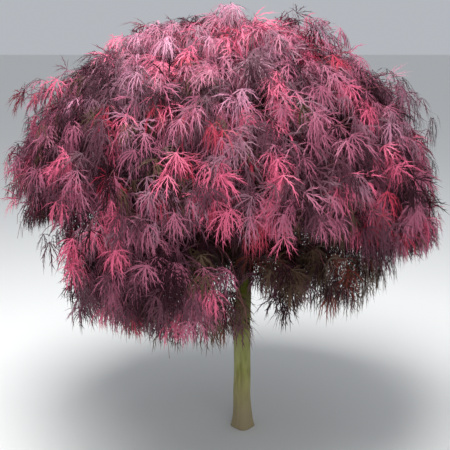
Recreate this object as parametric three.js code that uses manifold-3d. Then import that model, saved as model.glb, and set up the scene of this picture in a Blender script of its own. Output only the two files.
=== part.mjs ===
// A weeping laceleaf maple, grafted on a straight stem and rooted in level ground.
// Millimetres, +Z up, the ground at z = 0 and the trunk's foot at the origin.
// -Y faces the viewer, and +X is to the right.
//
// The crown is a dome that hangs round an open space. A place in it is given by three numbers:
// turn, degrees round the stem from +X towards +Y; fall, degrees down from straight up;
// and depth, the share of the way from the crown's heart (0) to its outer surface (1).
// Each mass of foliage keeps to a cell of its own in turn, fall and depth. Every cell points at the heart,
// so a bough that runs out from there reaches its own cell without crossing another's.
import * as THREE from "three";
import { mergeVertices } from "three/addons/utils/BufferGeometryUtils.js";
import Module from "manifold-3d";

const wasm = await Module();
wasm.setup();

// Driving dimensions
const CLEAR = 0.3; // gap between pieces that touch
const FINEST = 0.03; // edges shorter than this are closed up
const TRUNK = {
  top: 985,
  foot: 45, // radius where the root flare meets the ground
  girth: 33, // radius above the flare
  neck: 28.5, // radius below the graft
  neckHeight: 795,
  graft: 37, // radius of the swelling where the boughs were grafted on
  graftHeight: 925,
  graftSpread: 70,
  flareHeight: 42,
  ridges: 4, // of the flare
  ridgeDepth: 0.3,
  headShare: 0.35, // of the girth, left at the rounded top
  lean: 16,
  sway: [5, 6], // to the left and right, and forwards and back
  swayWaves: [1, 2.5], // half waves of each, up the trunk
  sides: 32,
  rings: 12,
};
const HEART = 900; // height of the crown's heart, where the crown is also widest
const RISE = 718; // from the heart to the crown's top
const SECTORS = 8;
// The crown's reach at every eighth of a turn: right, back right, back, ...
const REACH = [820, 790, 795, 800, 815, 805, 810, 785];
// The fall of its lower rim in every sector, from the right round to the back. Where the rim is higher
// than the floor of the shoulder masses, the sector has no skirt and the crown is open
const RIM = [105, 111, 113, 98, 83, 113, 80, 98];
// The crown sits to the left of the trunk: it moves over by so much, and its heart keeps to the trunk,
// so that places nearer the heart than a certain depth move less
const SHIFT = { x: -80, depth: 0.36 };
// The tiers of masses: the falls between them, and the depths where a mass starts and ends
const TIER_FALLS = { top: [0, 29], upper: [29, 60], shoulder: [60, 88] };
const INNER_DEPTH = 0.66;
const OUTER_DEPTHS = [0.955, 1];
const SHOULDER_TWIST = 9; // degrees from an upper mass round to the shoulder mass below it
// Cells lean over one another like roof tiles: by so many degrees of turn and of fall over the whole depth
const TILE_LEAN = 60;
const UPRIGHT_DEPTH = 0.86; // where a leaning cell stands in its own place
// The masses low down inside the crown, which grow on the trunk itself at a height. Each hangs through so many
// degrees of fall, from so far under the lowest rim above it
const LOW_TURNS = [60, 150, 240, 320];
const LOW = { under: 2, hang: 17, depths: [0.36, 0.82], half: 37, height: 800, sink: 8, dip: 0.25 };

// Boughs: the height where each leaves the trunk, or how far along its limb it forks, the radii of its ends,
// and the places that it passes, each a turn from its sector's middle, a fall, a depth and a lift
const BOUGHS = {
  leader: {
    height: 940,
    radii: [13, 5],
    places: [[60, 7, 0.34, 0], [60, 3, 0.52, 0], [0, 1, 0.66, 0]],
  },
  limb: {
    height: 935,
    radii: [12.5, 5.2],
    places: [[0, 66, 0.13, 32], [0, 42, 0.36, 0], [0, 34, 0.66, 0]],
  },
  shoulder: {
    fork: 0.52,
    radii: [8, 4.8],
    places: [[5, 54, 0.45, 10], [8, 64, 0.55, 0], [9, 70, 0.66, 0]],
  },
  skirt: {
    height: 905,
    radii: [9.5, 4.8],
    places: [[22, 84, 0.16, 14], [22, 79, 0.42, 0], [22.5, 92, 0.66, 0]],
  },
};
const BOUGH_STRAY = 12; // degrees of turn that a bough wanders through
const BOUGH_SIDES = 5;
const BOUGH_RINGS = 5;

const LEAF = {
  length: 220,
  thick: 4.6,
  lobes: [0.78, 1, 0.78],
  spread: 54, // degrees from one lobe to the next
  notch: 0.46,
  back: 0.06, // from the blade's middle to its back edge
  droop: 8,
};
const LEAVES = { top: 19, upper: 9, shoulder: 10, skirt: 12, low: 7 }; // at most, in a mass
const TRIES = 900; // places tried for the leaves of a mass
const LEAF_SIZES = [1.05, 0.5]; // from the first place tried to the last
const LEAF_TWIST = 75; // degrees that a leaf may turn from hanging straight down, either way
const LEAF_GAP = 0.36; // least distance from one leaf's middle to the next, as a share of its length
const LEAF_LOWEST = 0.8; // share of a cell's height where a leaf's middle may lie
const LEAF_DEEPEST = 0.4; // share of a cell's depth
const LEAF_OUTWARD = 1.6; // the higher, the more leaves near a cell's outside
const MARGIN = 3; // from a cell's side walls to the foliage in it
const INNER_MARGIN = 0.012; // from a cell's inner wall, in depth
// A mass's stem runs on from the bough's tip, then from one share of the cell's height to another at one depth
const STEM = { radii: [5, 3.6], rings: 4, onward: 20, depth: 0.22, heights: [0.35, 0.62], atTop: [0.1, 0.2] };
const TWIG_RADII = [1.5, 1.1];

const LOOKS = {
  trunk: { color: 0x71724a, roughness: 0.85 },
  bough: { color: 0x5a4a3a, roughness: 0.85 },
  top: { color: 0xb4607c, roughness: 0.6 },
  upper: { color: 0xa4506e, roughness: 0.6 },
  shoulder: { color: 0x8a4660, roughness: 0.6 },
  skirt: { color: 0x6e3a4c, roughness: 0.6 },
  low: { color: 0x5a4a3c, roughness: 0.65 },
};

const radians = THREE.MathUtils.degToRad;
const inDegrees = THREE.MathUtils.radToDeg;
const mix = THREE.MathUtils.lerp;
const vector = (x, y, z) => new THREE.Vector3(x, y, z);
const curveThrough = (points) => new THREE.CatmullRomCurve3(points, false, "centripetal");

// A seeded stream of numbers from 0 to 1.
function seeded(seed) {
  let state = seed >>> 0;
  return () => {
    state = (Math.imul(state, 1664525) + 1013904223) >>> 0;
    return state / 2 ** 32;
  };
}

// The crown

// A value at any turn, eased between those given at equal steps round the crown.
function around(values, turn) {
  const place = ((((turn / 360) % 1) + 1) % 1) * values.length;
  const index = Math.floor(place);
  const ease = (1 - Math.cos((place - index) * Math.PI)) / 2;
  return mix(values[index % values.length], values[(index + 1) % values.length], ease);
}

// The point at a turn, fall and depth.
function crownPoint(turn, fall, depth) {
  const out = around(REACH, turn) * Math.sin(radians(fall)) * depth;
  const high = HEART + RISE * Math.cos(radians(fall)) * depth;
  const shift = SHIFT.x * Math.min(depth / SHIFT.depth, 1);
  return vector(shift + out * Math.cos(radians(turn)), out * Math.sin(radians(turn)), high);
}

// The turn, fall and depth of a point that is no nearer the heart than SHIFT's depth.
function crownPlace(point) {
  const turn = inDegrees(Math.atan2(point.y, point.x - SHIFT.x));
  const out = Math.hypot(point.x - SHIFT.x, point.y) / around(REACH, turn);
  const high = (point.z - HEART) / RISE;
  return { turn, fall: inDegrees(Math.atan2(out, high)), depth: Math.hypot(out, high) };
}

// The way out of the crown and the way down its surface, at a turn and fall.
function surfaceWays(turn, fall) {
  const safe = Math.max(fall, 2);
  const down = crownPoint(turn, safe + 1, 1).sub(crownPoint(turn, safe - 1, 1)).normalize();
  const side = crownPoint(turn + 1, safe, 1).sub(crownPoint(turn - 1, safe, 1)).normalize();
  return { out: down.clone().cross(side).normalize(), down };
}

// Solids

// A closed geometry as a solid with shared vertices.
function solidOf(geometry) {
  geometry.deleteAttribute("normal");
  geometry.deleteAttribute("uv");
  const merged = mergeVertices(geometry, 1e-4);
  return new wasm.Manifold(
    new wasm.Mesh({
      numProp: 3,
      vertProperties: new Float32Array(merged.attributes.position.array),
      triVerts: new Uint32Array(merged.index.array),
    }),
  );
}

// A solid as a geometry, without slivers finer than FINEST. Only its largest body is kept,
// so that a cut leaves no loose scrap.
function geometryOf(solid) {
  const [largest] = solid.simplify(FINEST).decompose().sort((a, b) => b.volume() - a.volume());
  const { vertProperties, triVerts } = largest.getMesh();
  const geometry = new THREE.BufferGeometry();
  geometry.setAttribute("position", new THREE.BufferAttribute(vertProperties, 3));
  geometry.setIndex(new THREE.BufferAttribute(triVerts, 1));
  geometry.computeVertexNormals();
  return geometry;
}

// A closed tube along a curve, tapering evenly: a cylinder whose rings are moved onto the curve.
// grow makes it that much larger all over, its ends too.
function tube(points, [from, to], sides, rings, grow = 0) {
  const curve = curveThrough(points);
  const frames = curve.computeFrenetFrames(rings, false);
  const middles = Array.from({ length: rings + 1 }, (_, ring) => curve.getPointAt(ring / rings));
  middles[0].addScaledVector(frames.tangents[0], -grow);
  middles[rings].addScaledVector(frames.tangents[rings], grow);
  const geometry = new THREE.CylinderGeometry(1, 1, 1, sides, rings);
  const position = geometry.attributes.position;
  for (let i = 0; i < position.count; i++) {
    const ring = Math.round((position.getY(i) + 0.5) * rings);
    const radius = mix(from, to, ring / rings) + grow;
    const normal = frames.normals[ring];
    const across = normal.clone().cross(frames.tangents[ring]);
    const place = middles[ring]
      .clone()
      .addScaledVector(normal, radius * position.getX(i))
      .addScaledVector(across, radius * position.getZ(i));
    position.setXYZ(i, place.x, place.y, place.z);
  }
  return solidOf(geometry);
}

// The rim of a leaf's blade: its back edge, then a lobe's tip and a notch by turns.
function leafRim({ middle, ahead, out, length }) {
  const rimPoint = (turn, reach, droop) => {
    const way = ahead.clone().applyAxisAngle(out, radians(turn));
    const point = middle.clone().addScaledVector(way, length * reach * Math.cos(radians(droop)));
    return point.addScaledVector(out, -length * reach * Math.sin(radians(droop)));
  };
  const rim = [rimPoint(180, LEAF.back, 0)];
  LEAF.lobes.forEach((lobe, i) => {
    const turn = (i - (LEAF.lobes.length - 1) / 2) * LEAF.spread;
    if (i > 0) rim.push(rimPoint(turn - LEAF.spread / 2, LEAF.notch, 0));
    rim.push(rimPoint(turn, lobe, LEAF.droop));
  });
  return rim;
}

// A leaf: a sphere of two rings, whose poles become the blade's middle and whose waist becomes its rim.
function leafSolid({ middle, out, rim }) {
  const columns = rim.length;
  const geometry = new THREE.SphereGeometry(1, columns, 2);
  const position = geometry.attributes.position;
  for (let i = 0; i < position.count; i++) {
    const row = Math.floor(i / (columns + 1));
    const column = (i % (columns + 1)) % columns;
    const pole = middle.clone().addScaledVector(out, ((1 - row) * LEAF.thick) / 2);
    const place = row === 1 ? rim[column] : pole;
    position.setXYZ(i, place.x, place.y, place.z);
  }
  return solidOf(geometry);
}

// The trunk

// The trunk's middle at a height: it sways a little and leans to the right.
function trunkMiddle(height) {
  const share = Math.max(0, height) / TRUNK.top;
  const [aside, forth] = TRUNK.swayWaves.map((waves) => Math.sin(waves * share * Math.PI));
  const x = TRUNK.lean * share * share - TRUNK.sway[0] * aside;
  const y = TRUNK.sway[1] * share * forth;
  return vector(x, y, height);
}

// The trunk's radius at a height: low ridges flare at the foot, and the head is rounded over the graft.
function trunkRadius(height, angle) {
  const { top, foot, girth, neck, graft } = TRUNK;
  const ridged = 1 + TRUNK.ridgeDepth * Math.cos(TRUNK.ridges * angle);
  const flare = (foot - girth) * Math.exp(-height / TRUNK.flareHeight) * ridged;
  const bole = mix(girth, neck, Math.min(height / TRUNK.neckHeight, 1));
  const swelling = (graft - neck) * Math.exp(-(((height - TRUNK.graftHeight) / TRUNK.graftSpread) ** 2));
  const overGraft = Math.max(0, height - TRUNK.graftHeight) / (top - TRUNK.graftHeight);
  const rounding = Math.sqrt(Math.max(0, 1 - overGraft ** 2));
  return (bole + flare + swelling) * mix(TRUNK.headShare, 1, rounding);
}

function trunkSolid(grow = 0) {
  const geometry = new THREE.CylinderGeometry(1, 1, 1, TRUNK.sides, TRUNK.rings);
  const position = geometry.attributes.position;
  for (let i = 0; i < position.count; i++) {
    const share = position.getY(i) + 0.5;
    const height = mix(-grow, TRUNK.top + grow, share * share * (3 - 2 * share));
    const angle = Math.atan2(position.getZ(i), position.getX(i));
    const radius = trunkRadius(Math.max(height, 0), angle) + grow;
    const { x, y } = trunkMiddle(height);
    position.setXYZ(i, x + radius * position.getX(i), y - radius * position.getZ(i), height);
  }
  return solidOf(geometry);
}

// The boughs

// The points of a bough: its root, then the places it passes. It wanders to either side on the way to its tip.
function boughPoints(root, turn, places, random) {
  const stops = places.map(([aside, fall, depth, lift], i) => {
    const stray = i < places.length - 1 ? BOUGH_STRAY * (random() - 0.5) : 0;
    return crownPoint(turn + aside + stray, fall, depth).add(vector(0, 0, lift));
  });
  return [root, ...stops];
}

const hasSkirt = (sector) => RIM[sector - 1] > TIER_FALLS.shoulder[1];

// A leader, and at every sector a limb that rises, a shoulder bough that forks from it and, half a sector on
// where there is a skirt, a bough that leaves the graft low down and hangs at its tip.
function boughPlans() {
  const random = seeded(71);
  const fromTrunk = ({ height, places }, turn) => boughPoints(trunkMiddle(height), turn, places, random);
  const { leader, limb, shoulder, skirt } = BOUGHS;
  const plans = [{ name: "leader", points: fromTrunk(leader, 0), radii: leader.radii }];
  for (let i = 1; i <= SECTORS; i++) {
    const turn = ((i - 1) * 360) / SECTORS;
    const limbPoints = fromTrunk(limb, turn);
    const fork = curveThrough(limbPoints).getPointAt(shoulder.fork);
    const shoulderPoints = boughPoints(fork, turn, shoulder.places, random);
    plans.push({ name: `limb_${i}`, points: limbPoints, radii: limb.radii });
    plans.push({ name: `shoulder_bough_${i}`, points: shoulderPoints, radii: shoulder.radii });
    if (hasSkirt(i)) {
      plans.push({ name: `skirt_bough_${i}`, points: fromTrunk(skirt, turn), radii: skirt.radii });
    }
  }
  return plans;
}

const boughSolid = ({ points, radii }, grow = 0) => tube(points, radii, BOUGH_SIDES, BOUGH_RINGS, grow);

// The masses of foliage

// The fall of the lowest rim over a low mass at a turn.
function rimOver(turn) {
  const edges = [turn - LOW.half, turn, turn + LOW.half];
  return Math.max(...edges.map((edge) => RIM[Math.floor((edge / 360) * SECTORS)]));
}

// The cell of each mass, and the bough that carries it. The low masses grow on the trunk itself.
function massPlans() {
  const random = seeded(7);
  const half = 180 / SECTORS;
  const top = { tier: "top", turn: 0, half: 180, falls: TIER_FALLS.top, bough: "leader" };
  const plans = [{ ...top, name: "top_mass", outer: 1 }];
  for (let i = 1; i <= SECTORS; i++) {
    const turn = 2 * half * (i - 1);
    const [shoulderRoof, shoulderFloor] = TIER_FALLS.shoulder;
    const rim = RIM[i - 1];
    const tiers = [
      { tier: "upper", turn, falls: TIER_FALLS.upper, bough: `limb_${i}` },
      {
        tier: "shoulder",
        turn: turn + SHOULDER_TWIST,
        falls: [shoulderRoof, Math.min(shoulderFloor, rim)],
        bough: `shoulder_bough_${i}`,
      },
    ];
    if (hasSkirt(i)) {
      tiers.push({ tier: "skirt", turn: turn + half, falls: [shoulderFloor, rim], bough: `skirt_bough_${i}` });
    }
    for (const plan of tiers) {
      plans.push({ ...plan, name: `${plan.tier}_mass_${i}`, half, outer: mix(...OUTER_DEPTHS, random()) });
    }
  }
  for (const plan of plans) {
    plan.depths = [INNER_DEPTH, plan.outer];
    plan.lean = TILE_LEAN;
  }
  LOW_TURNS.forEach((turn, i) => {
    const roof = rimOver(turn) + LOW.under;
    plans.push({ ...LOW, tier: "low", name: `low_mass_${i + 1}`, turn, falls: [roof, roof + LOW.hang], lean: 0 });
  });
  return plans;
}

// The point at shares of a cell's width, height and depth.
function cellPoint({ tier, turn, half, falls, depths, lean }, wide, high, deep) {
  const depth = mix(...depths, deep);
  const leaned = tier === "top" ? 0 : lean * (depth - UPRIGHT_DEPTH);
  return crownPoint(turn + mix(-half, half, wide) + leaned, mix(...falls, high) + leaned, depth);
}

// Whether a point lies in a mass's cell, clear of its walls.
function inCell({ tier, turn, half, falls, depths, lean }, point) {
  const place = crownPlace(point);
  const leaned = lean * (place.depth - UPRIGHT_DEPTH);
  const aside = Math.abs(((((place.turn - turn - leaned) % 360) + 540) % 360) - 180);
  const toSide = Math.hypot(point.x - SHIFT.x, point.y) * Math.sin(radians(Math.min(half - aside, 90)));
  const degree = radians(1) * RISE * place.depth;
  const toRoof = (place.fall - falls[0] - leaned) * degree;
  const toFloor = (falls[1] + (tier === "skirt" ? 0 : leaned) - place.fall) * degree;
  return (
    (tier === "top" || (toSide > MARGIN && toRoof > MARGIN)) &&
    toFloor > MARGIN &&
    place.depth > depths[0] + INNER_MARGIN &&
    place.depth < depths[1]
  );
}

// A leaf somewhere in a cell, more often near its outside, hanging more or less down the crown's surface.
function leafAtRandom(plan, size, random) {
  const evenly = plan.tier === "top" ? 0.5 : 1; // the top's cell is a round cap, the others are nearly oblong
  const outermost = random() ** LEAF_OUTWARD;
  const middle = cellPoint(plan, random(), LEAF_LOWEST * random() ** evenly, mix(1, LEAF_DEEPEST, outermost));
  const { turn, fall } = crownPlace(middle);
  const { out, down } = surfaceWays(turn, fall);
  const ahead = down.applyAxisAngle(out, radians(LEAF_TWIST * mix(-1, 1, random())));
  const length = LEAF.length * size;
  return { middle, out, length, rim: leafRim({ middle, ahead, out, length }) };
}

// The points of a mass's stem: on from its bough's tip, then down the middle of the cell.
function massStem(plan, { tip, way }) {
  const start = tip.clone().addScaledVector(way, CLEAR);
  const onward = start.clone().addScaledVector(way, STEM.onward);
  const heights = plan.tier === "top" ? STEM.atTop : STEM.heights;
  return [start, onward, ...heights.map((height) => cellPoint(plan, 0.5, height, STEM.depth))];
}

// Where twigs may leave a stem: the joints of its rings and the middles between them, its start left out.
function twigPlaces(stem) {
  const curve = curveThrough(stem);
  const joints = Array.from({ length: STEM.rings + 1 }, (_, ring) => curve.getPointAt(ring / STEM.rings));
  const middles = joints.slice(2).map((joint, i) => joint.clone().lerp(joints[i + 1], 0.5));
  return [...joints.slice(1, -1), ...middles];
}

// One mass: its stem, and leaves on twigs of their own. A leaf that would leave the cell, crowd another
// or touch what is there is skipped, and its twig with it.
function massSolid(plan, seed, end) {
  const random = seeded(seed);
  const stem = massStem(plan, end);
  const places = twigPlaces(stem);
  const clear = (solid, others) => others.every((other) => other.intersect(solid).isEmpty());
  const leaves = [];
  const blades = [];
  const twigs = [];
  for (let i = 0; i < TRIES && leaves.length < LEAVES[plan.tier]; i++) {
    const leaf = leafAtRandom(plan, mix(...LEAF_SIZES, i / TRIES), random);
    const away = (point) => point.distanceTo(leaf.middle);
    if (!leaf.rim.every((point) => inCell(plan, point))) continue;
    if (leaves.some((other) => away(other.middle) < LEAF_GAP * other.length)) continue;
    const nearest = places.reduce((best, place) => (away(place) < away(best) ? place : best));
    const twig = tube([nearest, leaf.middle], TWIG_RADII, 3, 1);
    const blade = leafSolid(leaf);
    if (!clear(blade, [...blades, ...twigs]) || !clear(twig, blades)) continue;
    leaves.push(leaf);
    blades.push(blade);
    twigs.push(twig);
  }
  return wasm.Manifold.union([tube(stem, STEM.radii, 3, STEM.rings), ...twigs, ...blades]);
}

// The whole plant

const plant = new THREE.Group();
function show(name, solid, look) {
  const material = new THREE.MeshStandardMaterial({ ...LOOKS[look], metalness: 0 });
  const mesh = new THREE.Mesh(geometryOf(solid), material);
  mesh.name = name;
  plant.add(mesh);
}

show("trunk", trunkSolid(), "trunk");

// Each bough is cut clear of the trunk and of the boughs made before it.
const ends = new Map();
let made = trunkSolid(CLEAR);
for (const plan of boughPlans()) {
  show(plan.name, boughSolid(plan).subtract(made), "bough");
  made = made.add(boughSolid(plan, CLEAR));
  ends.set(plan.name, { tip: plan.points.at(-1), way: curveThrough(plan.points).getTangentAt(1) });
}

// A low mass's stem starts inside the trunk's side, which is then cut out of it.
function trunkSide({ turn, height, sink, dip }) {
  const way = vector(Math.cos(radians(turn)), Math.sin(radians(turn)), -dip).normalize();
  return { tip: trunkMiddle(height).addScaledVector(way, TRUNK.neck - sink), way };
}

massPlans().forEach((plan, i) => {
  const end = ends.get(plan.bough);
  const solid = massSolid(plan, 100 + i * 17, end ?? trunkSide(plan));
  show(plan.name, end ? solid : solid.subtract(made), plan.tier);
});

export default plant;
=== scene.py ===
# A weeping laceleaf maple, grafted on a straight stem and rooted in level ground, dressed for its
# picture: bark over the trunk and boughs, and twigs and lace leaves in place of the masses of foliage.
# Metres, +Z up, the ground at z = 0 and the trunk's foot at the origin. -Y faces the viewer, +X is to
# the right.
#
# A place in the crown is given by three numbers, as it is for the solids: turn, degrees round the stem
# from +X towards +Y; fall, degrees down from straight up; and depth, the share of the way from the
# crown's heart (0) to its outer surface (1).
import math

import bpy
import numpy as np
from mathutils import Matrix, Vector


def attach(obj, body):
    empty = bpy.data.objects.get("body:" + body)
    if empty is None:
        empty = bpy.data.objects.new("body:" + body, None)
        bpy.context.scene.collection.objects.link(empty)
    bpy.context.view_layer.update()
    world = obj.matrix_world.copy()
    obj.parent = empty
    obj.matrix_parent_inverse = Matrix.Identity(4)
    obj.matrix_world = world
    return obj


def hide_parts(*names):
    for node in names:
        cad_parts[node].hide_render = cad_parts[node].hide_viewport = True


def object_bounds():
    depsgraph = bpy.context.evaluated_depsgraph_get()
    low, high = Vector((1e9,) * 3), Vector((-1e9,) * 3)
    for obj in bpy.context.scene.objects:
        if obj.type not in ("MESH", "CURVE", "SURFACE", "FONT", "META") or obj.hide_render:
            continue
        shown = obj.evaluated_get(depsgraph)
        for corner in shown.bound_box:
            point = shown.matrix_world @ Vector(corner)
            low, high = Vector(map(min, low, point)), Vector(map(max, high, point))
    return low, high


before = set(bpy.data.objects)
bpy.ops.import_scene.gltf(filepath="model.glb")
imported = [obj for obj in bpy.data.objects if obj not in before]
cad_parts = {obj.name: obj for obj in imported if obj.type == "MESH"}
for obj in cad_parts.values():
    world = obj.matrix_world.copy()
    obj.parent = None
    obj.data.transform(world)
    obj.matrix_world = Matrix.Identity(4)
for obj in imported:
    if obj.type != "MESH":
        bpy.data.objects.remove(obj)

CAD_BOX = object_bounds()
UP = np.array([0.0, 0.0, 1.0])

# The trunk, the crown and the boughs, as the solids have them
TRUNK = {
    "top": 0.985,
    "foot": 0.045,  # radius where the root flare meets the ground
    "girth": 0.033,  # radius above the flare
    "neck": 0.0285,  # radius below the graft
    "neck_height": 0.795,
    "graft": 0.037,  # radius of the swelling where the boughs were grafted on
    "graft_height": 0.925,
    "graft_spread": 0.070,
    "flare_height": 0.042,
    "ridges": 4,  # of the flare
    "ridge_depth": 0.3,
    "head_share": 0.35,  # of the girth, left at the rounded top
    "lean": 0.016,
    "sway": (0.005, 0.006),
    "sway_waves": (1, 2.5),
}
HEART = 0.900  # height of the crown's heart, where the crown is also widest
RISE = 0.718  # from the heart to the crown's top
SECTORS = 8
# The crown's reach at eight turns round it, and the fall of its rim in every sector. Where the rim is
# higher than the floor of the shoulder masses, the sector has no skirt
REACH = [0.820, 0.790, 0.795, 0.800, 0.815, 0.805, 0.810, 0.785]
RIM = [105, 111, 113, 98, 83, 113, 80, 98]
# The crown sits to the left of the trunk: it moves over by so much, and its heart keeps to the trunk,
# so that places nearer the heart than a certain depth move less
SHIFT = {"x": -0.080, "depth": 0.36}
# The tiers of masses: the falls between them, and the depths where a mass starts and ends
TIER_FALLS = {"top": (0, 29), "upper": (29, 60), "shoulder": (60, 88)}
INNER_DEPTH = 0.66
OUTER_DEPTHS = (0.955, 1)
SHOULDER_TWIST = 9  # degrees from an upper mass round to the shoulder mass below it
# Cells lean over one another like roof tiles: by so many degrees of turn and of fall over the whole
# depth
TILE_LEAN = 60
UPRIGHT_DEPTH = 0.86  # where a leaning cell stands in its own place
# The low masses, whose stems leave the trunk at a height. Each hangs through so many degrees of fall,
# from so far under the lowest rim above it
LOW_TURNS = [60, 150, 240, 320]
LOW = {
    "under": 2,
    "hang": 17,
    "depths": (0.36, 0.82),
    "half": 37,  # degrees of turn from its middle to its side
    "height": 0.800,
    "sink": 0.008,  # how far inside the bark the stem starts
    "dip": 0.25,  # how much the stem points down there
}
LEAST_FALL = 2  # degrees from the crown's top where the way down its surface can still be told

# Boughs: the height where each leaves the trunk, or how far along its limb it forks, the radii of its
# ends, and the places that it passes, each a turn from its sector's middle, a fall, a depth and a lift
BOUGHS = {
    "leader": {
        "height": 0.940,
        "radii": (0.013, 0.005),
        "places": [(60, 7, 0.34, 0), (60, 3, 0.52, 0), (0, 1, 0.66, 0)],
    },
    "limb": {
        "height": 0.935,
        "radii": (0.0125, 0.0052),
        "places": [(0, 66, 0.13, 0.032), (0, 42, 0.36, 0), (0, 34, 0.66, 0)],
    },
    "shoulder_bough": {
        "fork": 0.52,
        "radii": (0.008, 0.0048),
        "places": [(5, 54, 0.45, 0.010), (8, 64, 0.55, 0), (9, 70, 0.66, 0)],
    },
    "skirt_bough": {
        "height": 0.905,
        "radii": (0.0095, 0.0048),
        "places": [(22, 84, 0.16, 0.014), (22, 79, 0.42, 0), (22.5, 92, 0.66, 0)],
    },
}
BOUGH_STRAY = 12  # degrees of turn that a bough wanders through
CLEAR = 0.0003  # from a bough's tip to its stem
FINE_POINTS = 201  # on a bough's path, where its fork and its tip's direction are read
BOUGH_PIECES = {
    "limbs": ("leader", "limb"),
    "shoulder_boughs": ("shoulder_bough",),
    "skirt_boughs": ("skirt_bough",),
}

# The mesh of the bark: its fineness, and the waves of its relief, each a count round the wood and a
# height
TRUNK_SIDES = 72
TRUNK_RINGS = 220
BOUGH_SIDES = 12
BOUGH_RINGS = 36
BARK_WAVES = [(2, 0.0011), (3, 0.0009), (5, 0.0007), (9, 0.0005), (14, 0.0004), (23, 0.0003)]
BARK_SLANT = 9  # radians of wave, at most, in a metre along the wood
BARK_WANDER = (1.2, 17)  # how far a fissure wanders, in radians of wave, and how often along the wood
BOUGH_RELIEF = 0.07  # share of a bough's radius
COLLAR = (0.35, 0.06)  # how much a bough thickens at its root, and over what share of its length

# Twigs. A stem runs on from its bough's tip, branchlets leave the stem, and shoots leave the branchlets
STEM = {
    "radii": (0.005, 0.0028),
    "rings": 12,
    "sides": 6,
    "onward": 0.020,  # how far it runs straight on from the bough
    "depth": 0.22,  # where it runs in the cell's depth
    "heights": (0.35, 0.62),  # the shares of the cell's height that it passes
    "at_top": (0.1, 0.2),  # the same in the top mass
}
BRANCHLETS = {"top": 26, "upper": 10, "shoulder": 11, "skirt": 11, "low": 7}
BRANCHLET = {
    "radii": (0.0026, 0.0014),
    "rings": 8,
    "sides": 4,
    "deep": (0.25, 0.62),  # where the tips lie in the cell's depth
    "gap": 0.075,  # from one tip to the next
    "lift": 0.5,  # how much it rises as it sets off
}
SHOOTS = {"top": 176, "upper": 64, "shoulder": 76, "skirt": 74, "low": 44}
SHOOT = {
    "radii": (0.0015, 0.0007),
    "rings": 6,
    "sides": 3,
    "deep": (0.45, 0.94),
    "gap": 0.048,
    "lift": 0.7,
}
# Inner shoots: how many for each outer one, and how deep. Those of the low masses come near the trunk
INNER_SHARES = {"top": 0.3, "upper": 0.28, "shoulder": 0.3, "skirt": 0.5, "low": 0.5}
INNER_DEEP = (0.05, 0.4)
NEAR_TRUNK = (-0.45, 0.35)
TRIES = 40  # places tried for each twig's tip
# The shares of a cell's height, from its roof, between which its tips lie
HIGHEST_TIP = 0.02
LOWEST_TIP = {"top": 0.98, "upper": 0.98, "shoulder": 0.98, "skirt": 0.78, "low": 0.78}
# Shoots that stand out of each mass: how many, and how far out, as shares of the cell's depth
STRAYS = {"top": 4, "upper": 3, "shoulder": 3, "skirt": 1, "low": 0}
STRAY_DEEP = (1.02, 1.18)
# Sprigs that stand out of the crown, then those of the low masses, which hang before the trunk's head,
# at its right and at its left: each tip's turn, fall and depth
OUTER_SPRIGS = [
    (268, 5, 1.025), (285, 9, 1.035), (290, 4, 1.02), (300, 6, 1.03), (268, 10, 1.03), (275, 13, 1.03),
    (320, 28, 1.06), (327, 25, 1.05), (333, 31, 1.045), (188, 53, 1.06), (194, 55, 1.05),
]
LOW_SPRIGS = [
    (285, 108, 0.28), (291, 112, 0.31), (297, 106, 0.25), (306, 110, 0.29), (284, 115, 0.38),
    (314, 104, 0.26), (272, 117, 0.30), (262, 119, 0.27), (252, 118, 0.31), (267, 122, 0.36),
    (243, 120, 0.29), (313, 121, 0.61), (322, 130, 0.56), (325, 123, 0.65), (320, 119, 0.72),
    (335, 124, 0.69), (328, 119, 0.77), (270, 118, 0.42), (274, 126, 0.38), (276, 123, 0.42),
    (272, 118, 0.48),
]
ARC = 0.42  # how far a twig keeps to its first and last direction, as a share of its length
FIRST_FORK = 2  # the ring of a path where the first twig may leave it
# How a twig sets off and how it comes in: the shares of each way in its direction, and how much that
# strays
SETTING_OFF = {"onward": 0.5, "stray": 0.15}
COMING_IN = {"out": 0.25, "drop": 0.35, "stray": 0.2}

# Leaves: a spray has one leaf at its shoot's tip and pairs behind it
BOX_SPARE = np.array([0.012, 0.012, 0.032])  # about how far a leaf may stand out of the solids' box
FLOOR_SPARE = 3  # degrees of fall that a leaf may hang below the crown's rim
LOW_FLOORS = [0.665, 0.665, 0.665, 0.545]  # height down to which the leaves of each low mass may hang
# At the right of the front the crown hangs less low: the rim of the leaves at turns in that sector
OPEN_SECTOR = 7
FRINGE = {"turns": (270, 294, 306, 315), "falls": (91, 95, 99, 100)}
# The furthest out that a leaf's tip may be, on a common shoot and on a stray one
TIP_DEPTHS = (1.02, 1.15)
PAIR_PLACES = [0.95, 0.79, 0.62]  # along the shoot
YOUNG_PAIRS = 2  # pairs nearest the tip that share its colour
STALK = (0.018, 0.036)  # its length, at least and at most
STALK_HALF = 0.0006  # half its width
STALK_DROP = 0.3  # how much a stalk bends down
TIP_LEAN = 0.1  # how far a stalk leans from its shoot, at the tip and in a pair
PAIR_LEAN = 0.9
# The shares of each way in a blade's direction, and how much it strays from that
BLADE_WAY = {"stalk": 0.6, "down": 0.65, "drop": 0.15, "stray": 0.36}
FACING_STRAY = 0.45  # how much a blade strays from facing out of the crown
BLADE = (0.074, 0.104)  # length of the middle lobe, at least and at most
LOBE_TURNS = [-88, -54, -25, 0, 25, 54, 88]
LOBE_LENGTHS = [0.58, 0.84, 0.97, 1.0, 0.97, 0.84, 0.58]
LOBE_STRAY = 11  # degrees
LOBE_LENGTH_STRAY = (0.85, 1.1)  # times its own length, at least and at most
INNER_BREADTH = 1.9  # how much broader the leaves of inner shoots are
LOBE_LIMIT = 0.8  # how far the side lobes reach, as a share of the middle one
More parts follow.
